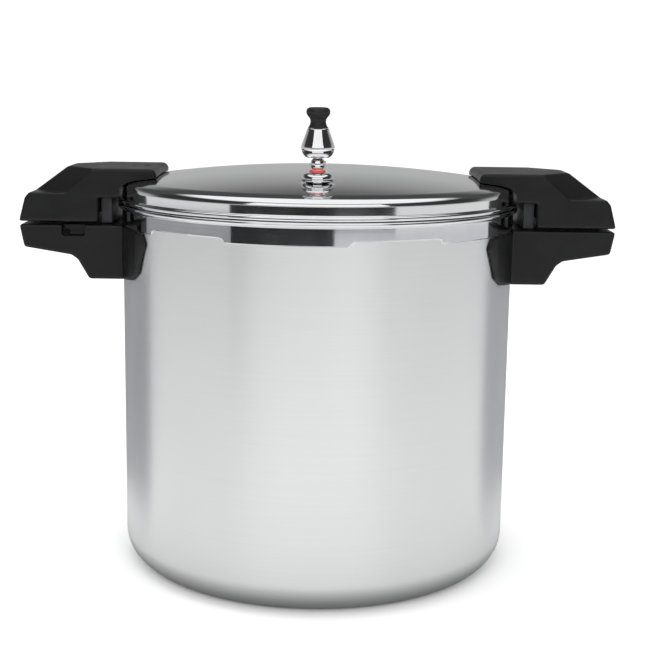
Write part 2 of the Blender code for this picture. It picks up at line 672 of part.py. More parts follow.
def make_regulator(carrier):
    """The weight that sits on the vent pipe, with its black cap pressed into the top."""
    vent = empty("regulator_axis", (0, VENT_Y, 0))
    vent.parent = carrier
    weight = [
        (3.3 + GAP, 361.2), (7.6, 361.2), (8.2, 360.6), (9.6, 356.5), (11.2, 352.0), (12.2, 348.8),
        (12.5, 346.9), (12.1, 344.6), (10.6, 341.6), (8.8, 340.0), (7.8, 339.7), (6.0, 339.7),
    ]
    weight_bore = [(6.0, 341.0), (4.2, 343.0), (4.2, 349.5), (0, 349.5)]
    stud_hole = [(0, 352.5), (3.3 + GAP, 352.5)]
    turned("regulator_weight", stud_hole + weight + weight_bore, CHROME, vent)
    cap = [
        (0, 376.8), (6.6, 376.6), (8.2, 375.6), (8.9, 373.8), (8.8, 371.8), (7.4, 369.6), (5.9, 368.0),
        (5.8, 365.6), (6.6, 363.6), (7.8, 361.5), (3.3, 361.5), (3.3, 353.0), (0, 353.0),
    ]
    turned("regulator_cap", cap, PHENOLIC, vent)


# ---- safety fittings ----
def make_safety_fittings(carrier):
    """Over-pressure plug, and the lock pin with its seal under the left handle's arm."""
    seat = dome_height(PLUG_Y)
    plug_axis = empty("plug_axis", (0, PLUG_Y, seat))
    plug_axis.parent = carrier
    neck = PLUG_NECK_RADIUS
    plug = [
        (0, 3.0), (4.0, 2.9), (5.4, 2.2), (5.8, 1.4), (5.8, 0.7), (neck, 0.7), (neck, -4.4), (3.2, -6.2),
        (0, -6.2),
    ]
    turned("overpressure_plug", plug, BLACK_RUBBER, plug_axis)
    seat = dome_height(LOCK_PIN_X)
    pin_axis = empty("pin_axis", (-LOCK_PIN_X, 0, seat))
    pin_axis.parent = carrier
    pin_radius = LOCK_PIN_RADIUS
    hole = pin_radius + 0.4
    seal = [
        (hole, 2.6), (4.6, 2.6), (5.0, 1.3), (LOCK_SEAL_NECK, 1.3), (LOCK_SEAL_NECK, -6.2), (4.6, -6.4),
        (4.6, -7.4), (hole, -7.4),
    ]
    turned("lock_pin_seal", seal, RED_SILICONE, pin_axis, ring=True)
    pin = [
        (0, 7.6), (pin_radius - 0.3, 7.6), (pin_radius, 7.2), (pin_radius, -12.8), (3.4, -13.1), (3.4, -14.2),
        (0, -14.2),
    ]
    turned("lock_pin", pin, STEEL, pin_axis)


# ---- rack ----
def make_rack():
    """A perforated tray that keeps the jars off the floor of the pot."""
    edge = RACK_RADIUS
    top = RACK_TOP
    sheet = 1.6
    profile = [
        (0, top), (edge - 3, top), (edge, top - 3), (edge, POT_FLOOR + GAP), (edge - sheet, POT_FLOOR + GAP),
        (edge - sheet, top - 3.6), (edge - 3.6, top - sheet), (0, top - sheet),
    ]
    rack = turned("canning_rack", profile, ALUMINIUM, steps=RACK_STEPS)
    holes = [rod_mesh("hole", 20.0, (0, 0, 10), (0, 0, 30), 12)]
    for count, ring_radius, hole_radius in ((6, 58.0, 14.0), (12, 104.0, 9.0)):
        for index in range(count):
            angle = math.tau * index / count
            x = ring_radius * math.cos(angle)
            y = ring_radius * math.sin(angle)
            holes.append(rod_mesh("hole", hole_radius, (x, y, 10), (x, y, 30), 8))
    cut(rack, cutter("rack_holes", holes))
    return rack


# ---- assembly ----
make_pot()
lid_axis = empty("lid_axis")
make_lid(lid_axis)
make_gasket(lid_axis)
for side, turn in (("right", 0.0), ("left", 180.0)):
    body_side = empty("body_side_" + side, turn=turn)
    lid_side = empty("lid_side_" + side, turn=turn)
    lid_side.parent = lid_axis
    make_body_handle(side, body_side)
    make_body_bracket(side, body_side)
    make_lid_handle(side, lid_side)
    make_lid_bracket(side, lid_side)
    make_fasteners(side, body_side, lid_side)
make_vent(lid_axis)
make_regulator(lid_axis)
make_safety_fittings(lid_axis)
make_rack()
bpy.context.view_layer.update()
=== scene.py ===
"""Looks of the pressure canner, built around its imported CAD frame.

Sizes below are in millimetres, turned into metres by MM, in the frame of the CAD model:
+Z up, the handles along X, the vent pipe towards -Y.
"""
import math

import bmesh
import bpy
from mathutils import Matrix, Vector


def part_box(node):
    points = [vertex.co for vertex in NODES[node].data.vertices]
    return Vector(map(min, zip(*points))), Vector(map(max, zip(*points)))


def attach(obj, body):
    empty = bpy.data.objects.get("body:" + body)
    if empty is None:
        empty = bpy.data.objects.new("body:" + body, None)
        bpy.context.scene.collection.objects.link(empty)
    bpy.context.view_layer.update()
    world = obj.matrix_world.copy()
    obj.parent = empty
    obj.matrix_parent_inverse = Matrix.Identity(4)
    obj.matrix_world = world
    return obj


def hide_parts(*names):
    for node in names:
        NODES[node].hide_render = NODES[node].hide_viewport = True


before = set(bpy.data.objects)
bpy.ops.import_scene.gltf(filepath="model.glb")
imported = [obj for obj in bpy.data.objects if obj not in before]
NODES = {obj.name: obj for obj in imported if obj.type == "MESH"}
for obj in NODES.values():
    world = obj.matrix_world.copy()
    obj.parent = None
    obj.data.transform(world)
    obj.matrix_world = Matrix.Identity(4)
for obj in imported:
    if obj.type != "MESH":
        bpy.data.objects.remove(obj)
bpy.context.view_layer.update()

MM = 0.001


# ---- helpers for shapes ----
def fillet_path(points, step=12.0):
    """Round the corners of a polyline of (x, y, radius) points with arcs."""
    path = []
    last = len(points) - 1
    for index, (x, y, radius) in enumerate(points):
        here = Vector((x, y))
        if radius == 0 or index in (0, last):
            path.append(here)
            continue
        back = Vector(points[index - 1][:2]) - here
        ahead = Vector(points[index + 1][:2]) - here
        half = back.angle(ahead) / 2
        reach = min(radius / math.tan(half), back.length * 0.49, ahead.length * 0.49)
        real = reach * math.tan(half)
        start = here + back.normalized() * reach
        centre = here + (back.normalized() + ahead.normalized()).normalized() * real / math.sin(half)
        from_centre = start - centre
        sweep = math.pi - 2 * half
        if back.x * ahead.y - back.y * ahead.x > 0:
            sweep = -sweep
        count = max(2, math.ceil(abs(math.degrees(sweep)) / step))
        for number in range(count + 1):
            turned = Matrix.Rotation(sweep * number / count, 2) @ from_centre
            path.append(centre + turned)
    return [(point.x, point.y) for point in path]


def smooth_path(points, count=6):
    """A Catmull-Rom curve through (x, y) points."""
    padded = [points[0]] + list(points) + [points[-1]]
    path = []
    for p0, p1, p2, p3 in zip(padded, padded[1:], padded[2:], padded[3:]):
        for number in range(count):
            t = number / count
            values = []
            for a, b, c, d in zip(p0, p1, p2, p3):
                square = 2 * a - 5 * b + 4 * c - d
                cube = 3 * b - a - 3 * c + d
                values.append(0.5 * (2 * b + (c - a) * t + square * t**2 + cube * t**3))
            path.append(tuple(values))
    path.append(tuple(points[-1]))
    return path


def ease(value):
    """A smooth step from 0 to 1."""
    value = min(1.0, max(0.0, value))
    return value * value * (3 - 2 * value)


def even_angles(count):
    """Angles that share a full turn evenly, in radians."""
    return [math.tau * index / count for index in range(count)]


def revolve(name, profile, angles, ring=False, shape=None, axis=(0, 0)):
    """Turn a profile of (radius, height) round an upright axis.

    shape, if given, moves a point: it takes the angle, the point's index, radius and height.
    """
    bm = bmesh.new()
    rows = []
    for index, (radius, height) in enumerate(profile):
        if radius < 1e-6:
            rows.append([bm.verts.new((axis[0] * MM, axis[1] * MM, height * MM))])
            continue
        row = []
        for angle in angles:
            r, z = (radius, height) if shape is None else shape(angle, index, radius, height)
            x = axis[0] + r * math.cos(angle)
            y = axis[1] + r * math.sin(angle)
            row.append(bm.verts.new((x * MM, y * MM, z * MM)))
        rows.append(row)
    pairs = list(zip(rows, rows[1:]))
    if ring:
        pairs.append((rows[-1], rows[0]))
    count = len(angles)
    for upper, lower in pairs:
        if len(upper) == 1 and len(lower) == 1:
            continue
        for index in range(count):
            after = (index + 1) % count
            corners = [upper[index % len(upper)], upper[after % len(upper)]]
            corners += [lower[after % len(lower)], lower[index % len(lower)]]
            unique = []
            for vertex in corners:
                if vertex not in unique:
                    unique.append(vertex)
            bm.faces.new(unique)
    bmesh.ops.recalc_face_normals(bm, faces=bm.faces)
    mesh = bpy.data.meshes.new(name)
    bm.to_mesh(mesh)
    bm.free()
    mesh.shade_smooth()
    return mesh


def new_object(name, mesh, *materials):
    """An object in the scene with its materials, the first one on every face."""
    obj = bpy.data.objects.new(name, mesh)
    bpy.context.scene.collection.objects.link(obj)
    for material in materials:
        obj.data.materials.append(material)
    return obj


def finish_piece(obj, body, slot, *nodes):
    """Let a piece ride on a body and hide the CAD nodes that it stands for; the slot is not used."""
    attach(obj, body)
    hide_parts(*nodes)
    return obj


def flat_shading_fix(obj):
    """Keep broad flats flat in smooth shading."""
    modifier = obj.modifiers.new("weighted_normals", "WEIGHTED_NORMAL")
    modifier.keep_sharp = True
    modifier.weight = 60


def apply_modifiers(obj):
    """Turn the evaluated shape into the object's own mesh."""
    evaluated = obj.evaluated_get(bpy.context.evaluated_depsgraph_get())
    mesh = bpy.data.meshes.new_from_object(evaluated)
    old = obj.data
    obj.modifiers.clear()
    obj.data = mesh
    bpy.data.meshes.remove(old)


def prism_mesh(name, radius, low, high, axis=(0, 0), sides=48):
    """An upright prism; with its many sides by default, a cylinder for cutting holes."""
    bm = bmesh.new()
    bmesh.ops.create_cone(
        bm, cap_ends=True, segments=sides, radius1=radius * MM, radius2=radius * MM, depth=(high - low) * MM
    )
    bmesh.ops.translate(bm, verts=bm.verts, vec=(axis[0] * MM, axis[1] * MM, (low + high) / 2 * MM))
    mesh = bpy.data.meshes.new(name)
    bm.to_mesh(mesh)
    bm.free()
    return mesh


def cut_holes(obj, meshes):
    """Cut closed meshes out of an object for good."""
    cutters = [new_object("cutter", mesh) for mesh in meshes]
    for tool in cutters:
        modifier = obj.modifiers.new("hole", "BOOLEAN")
        modifier.operation = "DIFFERENCE"
        modifier.solver = "EXACT"
        modifier.object = tool
    apply_modifiers(obj)
    for tool in cutters:
        bpy.data.objects.remove(tool, do_unlink=True)


def axis_of(node):
    """Where a turned CAD node's upright axis stands, in millimetres."""
    low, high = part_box(node)
    return ((low.x + high.x) / 2 / MM, (low.y + high.y) / 2 / MM)


# ---- materials ----
def feed(tree, value, socket):
    """Give a socket a plain value or the output of another node."""
    if isinstance(value, (int, float, tuple)):
        socket.default_value = value
    else:
        tree.links.new(value, socket)


def math_node(tree, operation, first, second=0.0):
    """A math node on two values or node outputs."""
    node = tree.nodes.new("ShaderNodeMath")
    node.operation = operation
    feed(tree, first, node.inputs[0])
    feed(tree, second, node.inputs[1])
    return node.outputs[0]


class Shader:
    """A Principled material and short calls for the nodes in front of it."""

    def __init__(self, name, colour, roughness, metallic=0.0, **sockets):
        self.material = bpy.data.materials.new(name)
        self.material.use_nodes = True
        self.tree = self.material.node_tree
        self.principled = self.tree.nodes["Principled BSDF"]
        self.principled.inputs["Base Color"].default_value = (*colour, 1.0)
        self.principled.inputs["Roughness"].default_value = roughness
        self.principled.inputs["Metallic"].default_value = metallic
        for key, value in sockets.items():
            self.principled.inputs[key.replace("_", " ")].default_value = value
        self.material.diffuse_color = (*colour, 1.0)
        self.coordinates = self.tree.nodes.new("ShaderNodeTexCoord").outputs["Object"]
        self.height = None

    def link(self, source, target):
        self.tree.links.new(source, target)

    def math(self, operation, first, second=0.0):
        return math_node(self.tree, operation, first, second)

    def axes(self):
        """The X, Y and Z object coordinates."""
        node = self.tree.nodes.new("ShaderNodeSeparateXYZ")
        self.link(self.coordinates, node.inputs[0])
        return node.outputs

    def distance_from_axis(self):
        """Distance from the object's Z axis."""
        x, y, z = self.axes()
        squares = self.math("ADD", self.math("MULTIPLY", x, x), self.math("MULTIPLY", y, y))
        return self.math("SQRT", squares)

    def vector(self, x, y, z):
        node = self.tree.nodes.new("ShaderNodeCombineXYZ")
        for socket, value in zip(node.inputs, (x, y, z)):
            feed(self.tree, value, socket)
        return node.outputs[0]

    def scaled(self, x, y, z):
        """Object coordinates stretched by a scale along each axis."""
        node = self.tree.nodes.new("ShaderNodeMapping")
        node.inputs["Scale"].default_value = (x, y, z)
        self.link(self.coordinates, node.inputs["Vector"])
        return node.outputs[0]

    def noise(self, vector, scale=1.0, detail=3.0, roughness=0.55):
        node = self.tree.nodes.new("ShaderNodeTexNoise")
        node.inputs["Scale"].default_value = scale
        node.inputs["Detail"].default_value = detail
        node.inputs["Roughness"].default_value = roughness
        self.link(vector, node.inputs["Vector"])
        return node.outputs["Fac"]

    def spread(self, source, low, high, start=0.3, end=0.7):
        """Map a source between start and end to low and high."""
        node = self.tree.nodes.new("ShaderNodeMapRange")
        self.link(source, node.inputs["Value"])
        for key, value in (("From Min", start), ("From Max", end), ("To Min", low), ("To Max", high)):
            node.inputs[key].default_value = value
        return node.outputs[0]

    def colour(self, source, dark, light):
        """Blend two base colours by a source from 0 to 1."""
        node = self.tree.nodes.new("ShaderNodeMix")
        node.data_type = "RGBA"
        node.inputs["A"].default_value = (*dark, 1.0)
        node.inputs["B"].default_value = (*light, 1.0)
        self.link(source, node.inputs["Factor"])
        self.link(node.outputs["Result"], self.principled.inputs["Base Color"])

    def roughness(self, source):
        self.link(source, self.principled.inputs["Roughness"])

    def bump(self, source, distance, strength=1.0):
        """Raise the surface by a source; calls add up."""
        node = self.tree.nodes.new("ShaderNodeBump")
        node.inputs["Strength"].default_value = strength
        node.inputs["Distance"].default_value = distance * MM
        self.link(source, node.inputs["Height"])
        if self.height is not None:
            self.link(self.height, node.inputs["Normal"])
        self.height = node.outputs["Normal"]
        self.link(self.height, self.principled.inputs["Normal"])

    def brushed_round(self, anisotropy):
        """Stretch highlights along Z, as grooves that run round the axis do."""
        tangent = self.tree.nodes.new("ShaderNodeTangent")
        tangent.direction_type = "RADIAL"
        tangent.axis = "Z"
        self.principled.inputs["Anisotropic"].default_value = anisotropy
        self.principled.inputs["Anisotropic Rotation"].default_value = 0.25
        self.link(tangent.outputs[0], self.principled.inputs["Tangent"])


def satin_wall():
    """Drawn aluminium with fine brushing round the pot and a faint mottle."""
    s = Shader("pot_satin_aluminium", (0.925, 0.93, 0.925), 0.34, 1.0)
    s.brushed_round(0.75)
    streaks = s.noise(s.scaled(9.0, 9.0, 1300.0), detail=4.0)
    mottle = s.noise(s.scaled(9.0, 9.0, 5.0), detail=2.0)
    s.colour(s.spread(streaks, 0.0, 1.0), (0.91, 0.918, 0.915), (0.94, 0.945, 0.94))
    s.roughness(s.math("ADD", s.spread(streaks, -0.02, 0.02), s.spread(mottle, 0.32, 0.36)))
    s.bump(streaks, 0.003, 0.3)
    return s.material


def satin_inside():
    """The duller inside of the pot, with turning marks."""
    s = Shader("pot_inside_aluminium", (0.74, 0.75, 0.76), 0.42, 1.0)
    s.brushed_round(0.5)
    streaks = s.noise(s.scaled(5.0, 5.0, 900.0), detail=4.0)
    cloud = s.noise(s.scaled(22.0, 22.0, 22.0), detail=4.0)
    s.colour(s.spread(cloud, 0.0, 1.0), (0.70, 0.71, 0.72), (0.78, 0.79, 0.80))
    s.roughness(s.math("ADD", s.spread(streaks, -0.04, 0.04), s.spread(cloud, 0.38, 0.46)))
    s.bump(streaks, 0.010, 0.5)
    return s.material


def polished_aluminium(name, colour, roughness):
    """Buffed aluminium with very fine lines round the axis and faint handling haze."""
    s = Shader(name, colour, roughness, 1.0)
    x, y, z = s.axes()
    fine = 1500.0
    coarse = 4.0
    radius = s.distance_from_axis()
    across = s.math("ADD", s.math("MULTIPLY", radius, fine), s.math("MULTIPLY", z, fine))
    along = s.vector(across, s.math("MULTIPLY", x, coarse), s.math("MULTIPLY", y, coarse))
    lines = s.noise(along, detail=3.0)
    haze = s.noise(s.scaled(30.0, 30.0, 30.0), detail=4.0)
    dark = tuple(value * 0.97 for value in colour)
    s.colour(s.spread(haze, 0.0, 1.0), dark, colour)
    hazy = s.spread(haze, roughness - 0.02, roughness + 0.02)
    s.roughness(s.math("ADD", s.spread(lines, -0.015, 0.015), hazy))
    s.bump(lines, 0.0004, 0.25)
    return s.material


def moulded_phenolic(name, colour, roughness):
    """Moulded black plastic with a fine grain and soft flow marks."""
    s = Shader(name, colour, roughness, 0.0, Specular_IOR_Level=0.28)
    grain = s.noise(s.scaled(1.0, 1.0, 1.0), scale=1400.0, detail=2.0)
    flow = s.noise(s.scaled(30.0, 30.0, 60.0), detail=3.0)
    light = tuple(value * 1.5 for value in colour)
    s.colour(s.spread(flow, 0.0, 1.0), colour, light)
    flowing = s.spread(flow, roughness - 0.03, roughness + 0.04)
    s.roughness(s.math("ADD", s.spread(grain, -0.05, 0.05), flowing))
    s.bump(grain, 0.018, 0.5)
    s.bump(flow, 0.10, 0.25)
    return s.material


def cast_metal():
    """Aluminium casting coloured near black as painted shade, with a sandy skin."""
    # Painted shade: the near-black base colour stands in for the shade the casting sits in under the grips;
    # the patches vary that tone at random.
    s = Shader("coated_casting", (0.026, 0.0265, 0.028), 0.5, 0.3)
    sand = s.noise(s.scaled(1.0, 1.0, 1.0), scale=650.0, detail=4.0, roughness=0.7)
    patch = s.noise(s.scaled(70.0, 70.0, 70.0), detail=3.0)
    s.colour(s.spread(patch, 0.0, 1.0), (0.016, 0.0165, 0.0175), (0.036, 0.037, 0.039))
    s.roughness(s.math("ADD", s.spread(sand, -0.06, 0.06), s.spread(patch, 0.45, 0.56)))
    s.bump(sand, 0.08, 0.5)
    return s.material


def chrome():
    """Mirror chrome with a trace of polishing waviness."""
    s = Shader("mirror_chrome", (0.90, 0.90, 0.91), 0.035, 1.0)
    wave = s.noise(s.scaled(120.0, 120.0, 120.0), detail=2.0)
    specks = s.noise(s.scaled(1.0, 1.0, 1.0), scale=900.0, detail=2.0)
    s.colour(s.spread(wave, 0.0, 1.0), (0.87, 0.87, 0.88), (0.93, 0.93, 0.94))
    s.roughness(s.spread(specks, 0.02, 0.07))
    s.bump(wave, 0.01, 0.3)
    return s.material


def machined_steel():
    """Plain steel with faint tool marks."""
    s = Shader("machined_steel", (0.60, 0.60, 0.59), 0.32, 1.0)
    marks = s.noise(s.scaled(400.0, 400.0, 2500.0), detail=3.0)
    tint = s.noise(s.scaled(90.0, 90.0, 90.0), detail=3.0)
    s.colour(s.spread(tint, 0.0, 1.0), (0.52, 0.52, 0.52), (0.66, 0.66, 0.65))
    s.roughness(s.math("ADD", s.spread(marks, -0.06, 0.06), s.spread(tint, 0.26, 0.38)))
    s.bump(marks, 0.01, 0.5)
    return s.material


def mill_sheet():
    """Plain aluminium sheet with straight rolling lines."""
    s = Shader("mill_aluminium_sheet", (0.72, 0.73, 0.74), 0.36, 1.0)
    lines = s.noise(s.scaled(6.0, 1500.0, 40.0), detail=4.0)
    cloud = s.noise(s.scaled(35.0, 35.0, 35.0), detail=3.0)
    s.colour(s.spread(cloud, 0.0, 1.0), (0.66, 0.67, 0.68), (0.77, 0.78, 0.79))
    s.roughness(s.math("ADD", s.spread(lines, -0.05, 0.05), s.spread(cloud, 0.31, 0.41)))
    s.bump(lines, 0.01, 0.5)
    return s.material


def rubber(name, colour, roughness, dust):
    """Moulded rubber: a dull skin with a light bloom."""
    s = Shader(name, colour, roughness, 0.0, Specular_IOR_Level=0.35)
    skin = s.noise(s.scaled(1.0, 1.0, 1.0), scale=1100.0, detail=3.0)
    bloom = s.noise(s.scaled(80.0, 80.0, 80.0), detail=4.0)
    light = tuple(value + dust for value in colour)
    s.colour(s.spread(bloom, 0.0, 1.0, 0.35, 0.8), colour, light)
    s.roughness(s.math("ADD", s.spread(skin, -0.05, 0.05), s.spread(bloom, roughness, roughness + 0.1)))
    s.bump(skin, 0.02, 0.5)
    return s.material


SATIN = satin_wall()
INSIDE = satin_inside()
BAND = polished_aluminium("band_polished_aluminium", (0.88, 0.885, 0.895), 0.075)
MIRROR = polished_aluminium("lid_mirror_aluminium", (0.90, 0.905, 0.91), 0.09)
PHENOLIC = moulded_phenolic("handle_black_phenolic", (0.0045, 0.0046, 0.0049), 0.36)
CAP = moulded_phenolic("cap_black_phenolic", (0.008, 0.008, 0.0084), 0.42)
CASTING = cast_metal()
CHROME = chrome()
STEEL = machined_steel()
SHEET = mill_sheet()
GASKET = rubber("gasket_rubber", (0.07, 0.07, 0.07), 0.55, 0.05)
BLACK_RUBBER = rubber("plug_rubber", (0.02, 0.02, 0.02), 0.55, 0.03)
RED = rubber("red_silicone", (0.52, 0.035, 0.03), 0.35, 0.04)

# ---- pot ----
# In millimetres, but the pitch, phase, widths and ends of the lugs and steps are in degrees.
WALL_RADIUS = 159.0
WALL_INSIDE = 155.8
FLOOR_TOP = 4.5
CORNER = 25.0
BAND_RADIUS = 159.6
BAND_BOTTOM = 279.9
BAND_STEP = 3.6             # how much higher the band's edge runs over a lug
LIP_RADIUS = 152.4
RIM_TOP = 297.6
RIM_RADIUS = 162.9
RIM_BEND = 1.9              # radius of the rolled rim
LUG_COUNT = 6
LUG_PITCH = 360.0 / LUG_COUNT
LUG_PHASE = -8.0            # azimuth of one lug's middle
POT_LUG_WIDTH = 25.0
LID_LUG_WIDTH = 22.0
STEP_WIDTH = 27.0
LUG_END = 0.8
ROUND_STEPS = 240
RIVET_HOLE = 2.7
BAND_FACES = 1              # places of the band and the inside among the pot's materials
INSIDE_FACES = 2


def from_lug(angle):
    """Degrees from the nearest lug's middle."""
    turn = (math.degrees(angle) - LUG_PHASE) / LUG_PITCH
    return abs(turn - round(turn)) * LUG_PITCH


def lug_angles():
    """Angles round the rim, closer together where a lug ends."""
    close = 0.35
    least = math.radians(0.12)
    angles = even_angles(ROUND_STEPS)
    for index in range(LUG_COUNT):
        for half in (STEP_WIDTH / 2, POT_LUG_WIDTH / 2, LID_LUG_WIDTH / 2):
            for sign in (1, -1):
                for number in range(-4, 5):
                    degrees = LUG_PHASE + LUG_PITCH * index + sign * (half + number * close)
                    angles.append(math.radians(degrees % 360.0))
    angles.sort()
    kept = [angles[0]]
    for angle in angles[1:]:
        if angle - kept[-1] > least:
            kept.append(angle)
    return kept


LUG_ANGLES = lug_angles()


def band_edge(angle):
    """Height of the band's lower edge: raised over a lug, with quarter-round ends."""
    end_width = 2.4
    across = (STEP_WIDTH / 2 - from_lug(angle)) / end_width
    if across <= 0:
        return BAND_BOTTOM
    across = min(1.0, across)
    return BAND_BOTTOM + BAND_STEP * math.sqrt(1 - (1 - across) ** 2)


def corner_arc(radius, height, bend, start, end):
    """Profile points round a bend whose outer square corner is at a radius and height."""
    steps = 16
    points = []
    for number in range(steps + 1):
        turn = math.radians(start + (end - start) * number / steps)
        points.append((radius - bend + bend * math.cos(turn), height + bend + bend * math.sin(turn), 0))
    return points


def lug_share(angle, width):
    """1 on a lug of a width in degrees, 0 beside it, with a soft end between them."""
    return ease((width / 2 - from_lug(angle)) / LUG_END + 0.5)


def make_pot():
    """The pot: drawn wall and base, stepped band, rolled rim and pressed locking lugs."""
    inside = [(0, FLOOR_TOP, 0), (60, FLOOR_TOP, 0), (100, FLOOR_TOP, 0)]
    inside += corner_arc(WALL_INSIDE, FLOOR_TOP, CORNER - 3.2, -90, 0)
    inside += [
        (WALL_INSIDE, 120, 0), (WALL_INSIDE, 240, 0), (WALL_INSIDE, 280.6, 1.5),
        (LIP_RADIUS, 284.0, 0.8), (LIP_RADIUS, 288.6, 0.8), (WALL_INSIDE, 291.8, 1.2),
        (LIP_RADIUS, 294.6, 0.5), (LIP_RADIUS, RIM_TOP, 0.7),
    ]
    bead = RIM_RADIUS - RIM_BEND
    outside = [(157.0, RIM_TOP, 0)]
    for degrees in range(90, -91, -15):
        turn = math.radians(degrees)
        outside.append((bead + RIM_BEND * math.cos(turn), RIM_TOP - RIM_BEND + RIM_BEND * math.sin(turn), 0))
    outside += [
        (BAND_RADIUS, 293.3, 0.5), (BAND_RADIUS, 287.0, 0), (BAND_RADIUS, BAND_BOTTOM + 0.7, 0.3),
        (WALL_RADIUS, BAND_BOTTOM, 0.3), (WALL_RADIUS, 274.0, 0), (WALL_RADIUS, 200.0, 0),
        (WALL_RADIUS, 110.0, 0),
    ]
    outside += corner_arc(WALL_RADIUS, 0.0, CORNER, 0, -90)
    outside += [(118.0, 0.0, 0.8), (115.0, 1.0, 0.8), (60.0, 1.0, 0), (0, 1.0, 0)]
    profile = fillet_path(inside + outside, 7.0)

    def shape(angle, index, radius, height):
        if 281.0 < height < 292.5 and radius < WALL_INSIDE + 0.01:
            return WALL_INSIDE + (radius - WALL_INSIDE) * lug_share(angle, POT_LUG_WIDTH), height
        if radius > WALL_RADIUS - 0.01 and 274.5 < height < 286.0:
            return radius, height + band_edge(angle) - BAND_BOTTOM
        return radius, height

    mesh = revolve("pot_body_fine", profile, LUG_ANGLES, shape=shape)
    pot = new_object("pot", mesh, SATIN, BAND, INSIDE)
    for face in mesh.polygons:
        centre = face.center / MM
        radius = math.hypot(centre.x, centre.y)
        angle = math.atan2(centre.y, centre.x)
        if centre.z > 290 or (radius > WALL_RADIUS and centre.z > band_edge(angle) + 0.3):
            face.material_index = BAND_FACES
        elif radius < WALL_RADIUS - 0.6 and centre.z > 3.0 and radius < WALL_INSIDE + 0.1:
            outer_corner = centre.z < CORNER and radius > WALL_RADIUS - CORNER
            from_arc = math.hypot(radius - (WALL_RADIUS - CORNER), centre.z - CORNER)
            if not (outer_corner and from_arc > CORNER - 1.0):
                face.material_index = INSIDE_FACES
    holes = []
    for side in ("left", "right"):
        for number in (1, 2):
            low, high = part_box("body_rivet_%s_%d" % (side, number))
            middle = (low + high) / 2
            hole = prism_mesh("rivet_hole", RIVET_HOLE, -8, 8)
            hole.transform(Matrix.Translation(middle) @ Matrix.Rotation(math.pi / 2, 4, "Y"))
            holes.append(hole)
    cut_holes(pot, holes)
    flat_shading_fix(pot)
    return finish_piece(pot, "pot", "pot_aluminium", "pot_body")


# ---- lid ----
DOME_TOP = 326.6
DOME_SAG = 11.3             # how much lower the dome is at the next radius than in its middle
DOME_SAG_RADIUS = 150.0
DOME_INSIDE = 140.0         # where the dome's underside meets the skirt's bend
DOME_STEPS = 36
LID_WALL = 3.0
SEAT_FLAT = 8.8             # radius of the flat that the vent's base stands on
SEAT_BLEND = 12.6           # radius at which the flat has run out into the dome
SEAT_HEIGHT = 320.7
SEAT_UNDERSIDE = 316.5
EDGE_RADIUS = 159.4
FLANGE_RADIUS = 162.2
GROOVE_RADIUS = 155.6
SKIRT_RADIUS = 150.2
SKIRT_INSIDE = 147.0
LID_LUG_RADIUS = 151.8
VENT_HOLE = 4.3
FITTING_HOLE = 3.9


def dome_height(radius):
    """Height of the lid's outside at a distance from the middle."""
    return DOME_TOP - DOME_SAG * (radius / DOME_SAG_RADIUS) ** 2


def make_lid():
    """The lid: dome with a flat for the vent, rounded shoulder, flange, gasket groove and lugged skirt."""
    vent = axis_of("vent_pipe")
    dome_radii = [DOME_SAG_RADIUS * number / DOME_STEPS for number in range(DOME_STEPS + 1)]
    dome = [(radius, dome_height(radius)) for radius in dome_radii]
    edge = [
        (DOME_SAG_RADIUS, dome_height(DOME_SAG_RADIUS), 0), (EDGE_RADIUS, 312.4, 6.0),
        (EDGE_RADIUS, 301.8, 0.7), (FLANGE_RADIUS, 301.2, 1.6), (FLANGE_RADIUS, 298.0, 1.4),
        (GROOVE_RADIUS, 298.0, 0.4), (GROOVE_RADIUS, 306.0, 0.8),
        (SKIRT_RADIUS, 306.0, 0.8), (SKIRT_RADIUS, 283.0, 0.6),
        (LID_LUG_RADIUS, 282.0, 0.5), (LID_LUG_RADIUS, 278.4, 0.5), (SKIRT_RADIUS, 277.4, 0.6),
        (SKIRT_RADIUS, 276.0, 0.9), (SKIRT_INSIDE, 276.0, 0.9), (SKIRT_INSIDE, 309.4, 4.0),
        (DOME_INSIDE, dome_height(DOME_INSIDE) - LID_WALL, 0),
    ]
    under_radii = [DOME_INSIDE * number / DOME_STEPS for number in range(DOME_STEPS - 1, -1, -1)]
    under = [(radius, dome_height(radius) - LID_WALL) for radius in under_radii]
    profile = dome[:-1] + fillet_path(edge, 7.0) + under
    outer_count = len(dome)
    inner_start = len(profile) - len(under)

    def shape(angle, index, radius, height):
        if 277.0 < height < 283.4 and SKIRT_RADIUS < radius < LIP_RADIUS:
            return SKIRT_RADIUS + (radius - SKIRT_RADIUS) * lug_share(angle, LID_LUG_WIDTH), height
        distance = math.hypot(radius * math.cos(angle) - vent[0], radius * math.sin(angle) - vent[1])
        flat = 1.0 - ease((distance - SEAT_FLAT) / (SEAT_BLEND - SEAT_FLAT))
        if index < outer_count:
            return radius, height + (SEAT_HEIGHT - height) * flat
        if index >= inner_start:
            return radius, height + (SEAT_UNDERSIDE - height) * flat
        return radius, height

    mesh = revolve("lid_fine", profile, LUG_ANGLES, shape=shape)
    lid = new_object("lid", mesh, MIRROR)
    holes = [
        prism_mesh("vent_hole", VENT_HOLE, 300, 335, vent),
        prism_mesh("plug_hole", FITTING_HOLE, 300, 335, axis_of("overpressure_plug")),
        prism_mesh("pin_hole", FITTING_HOLE, 300, 335, axis_of("lock_pin")),
    ]
    cut_holes(lid, holes)
    flat_shading_fix(lid)
    return finish_piece(lid, "lid", "lid_aluminium", "lid_shell")


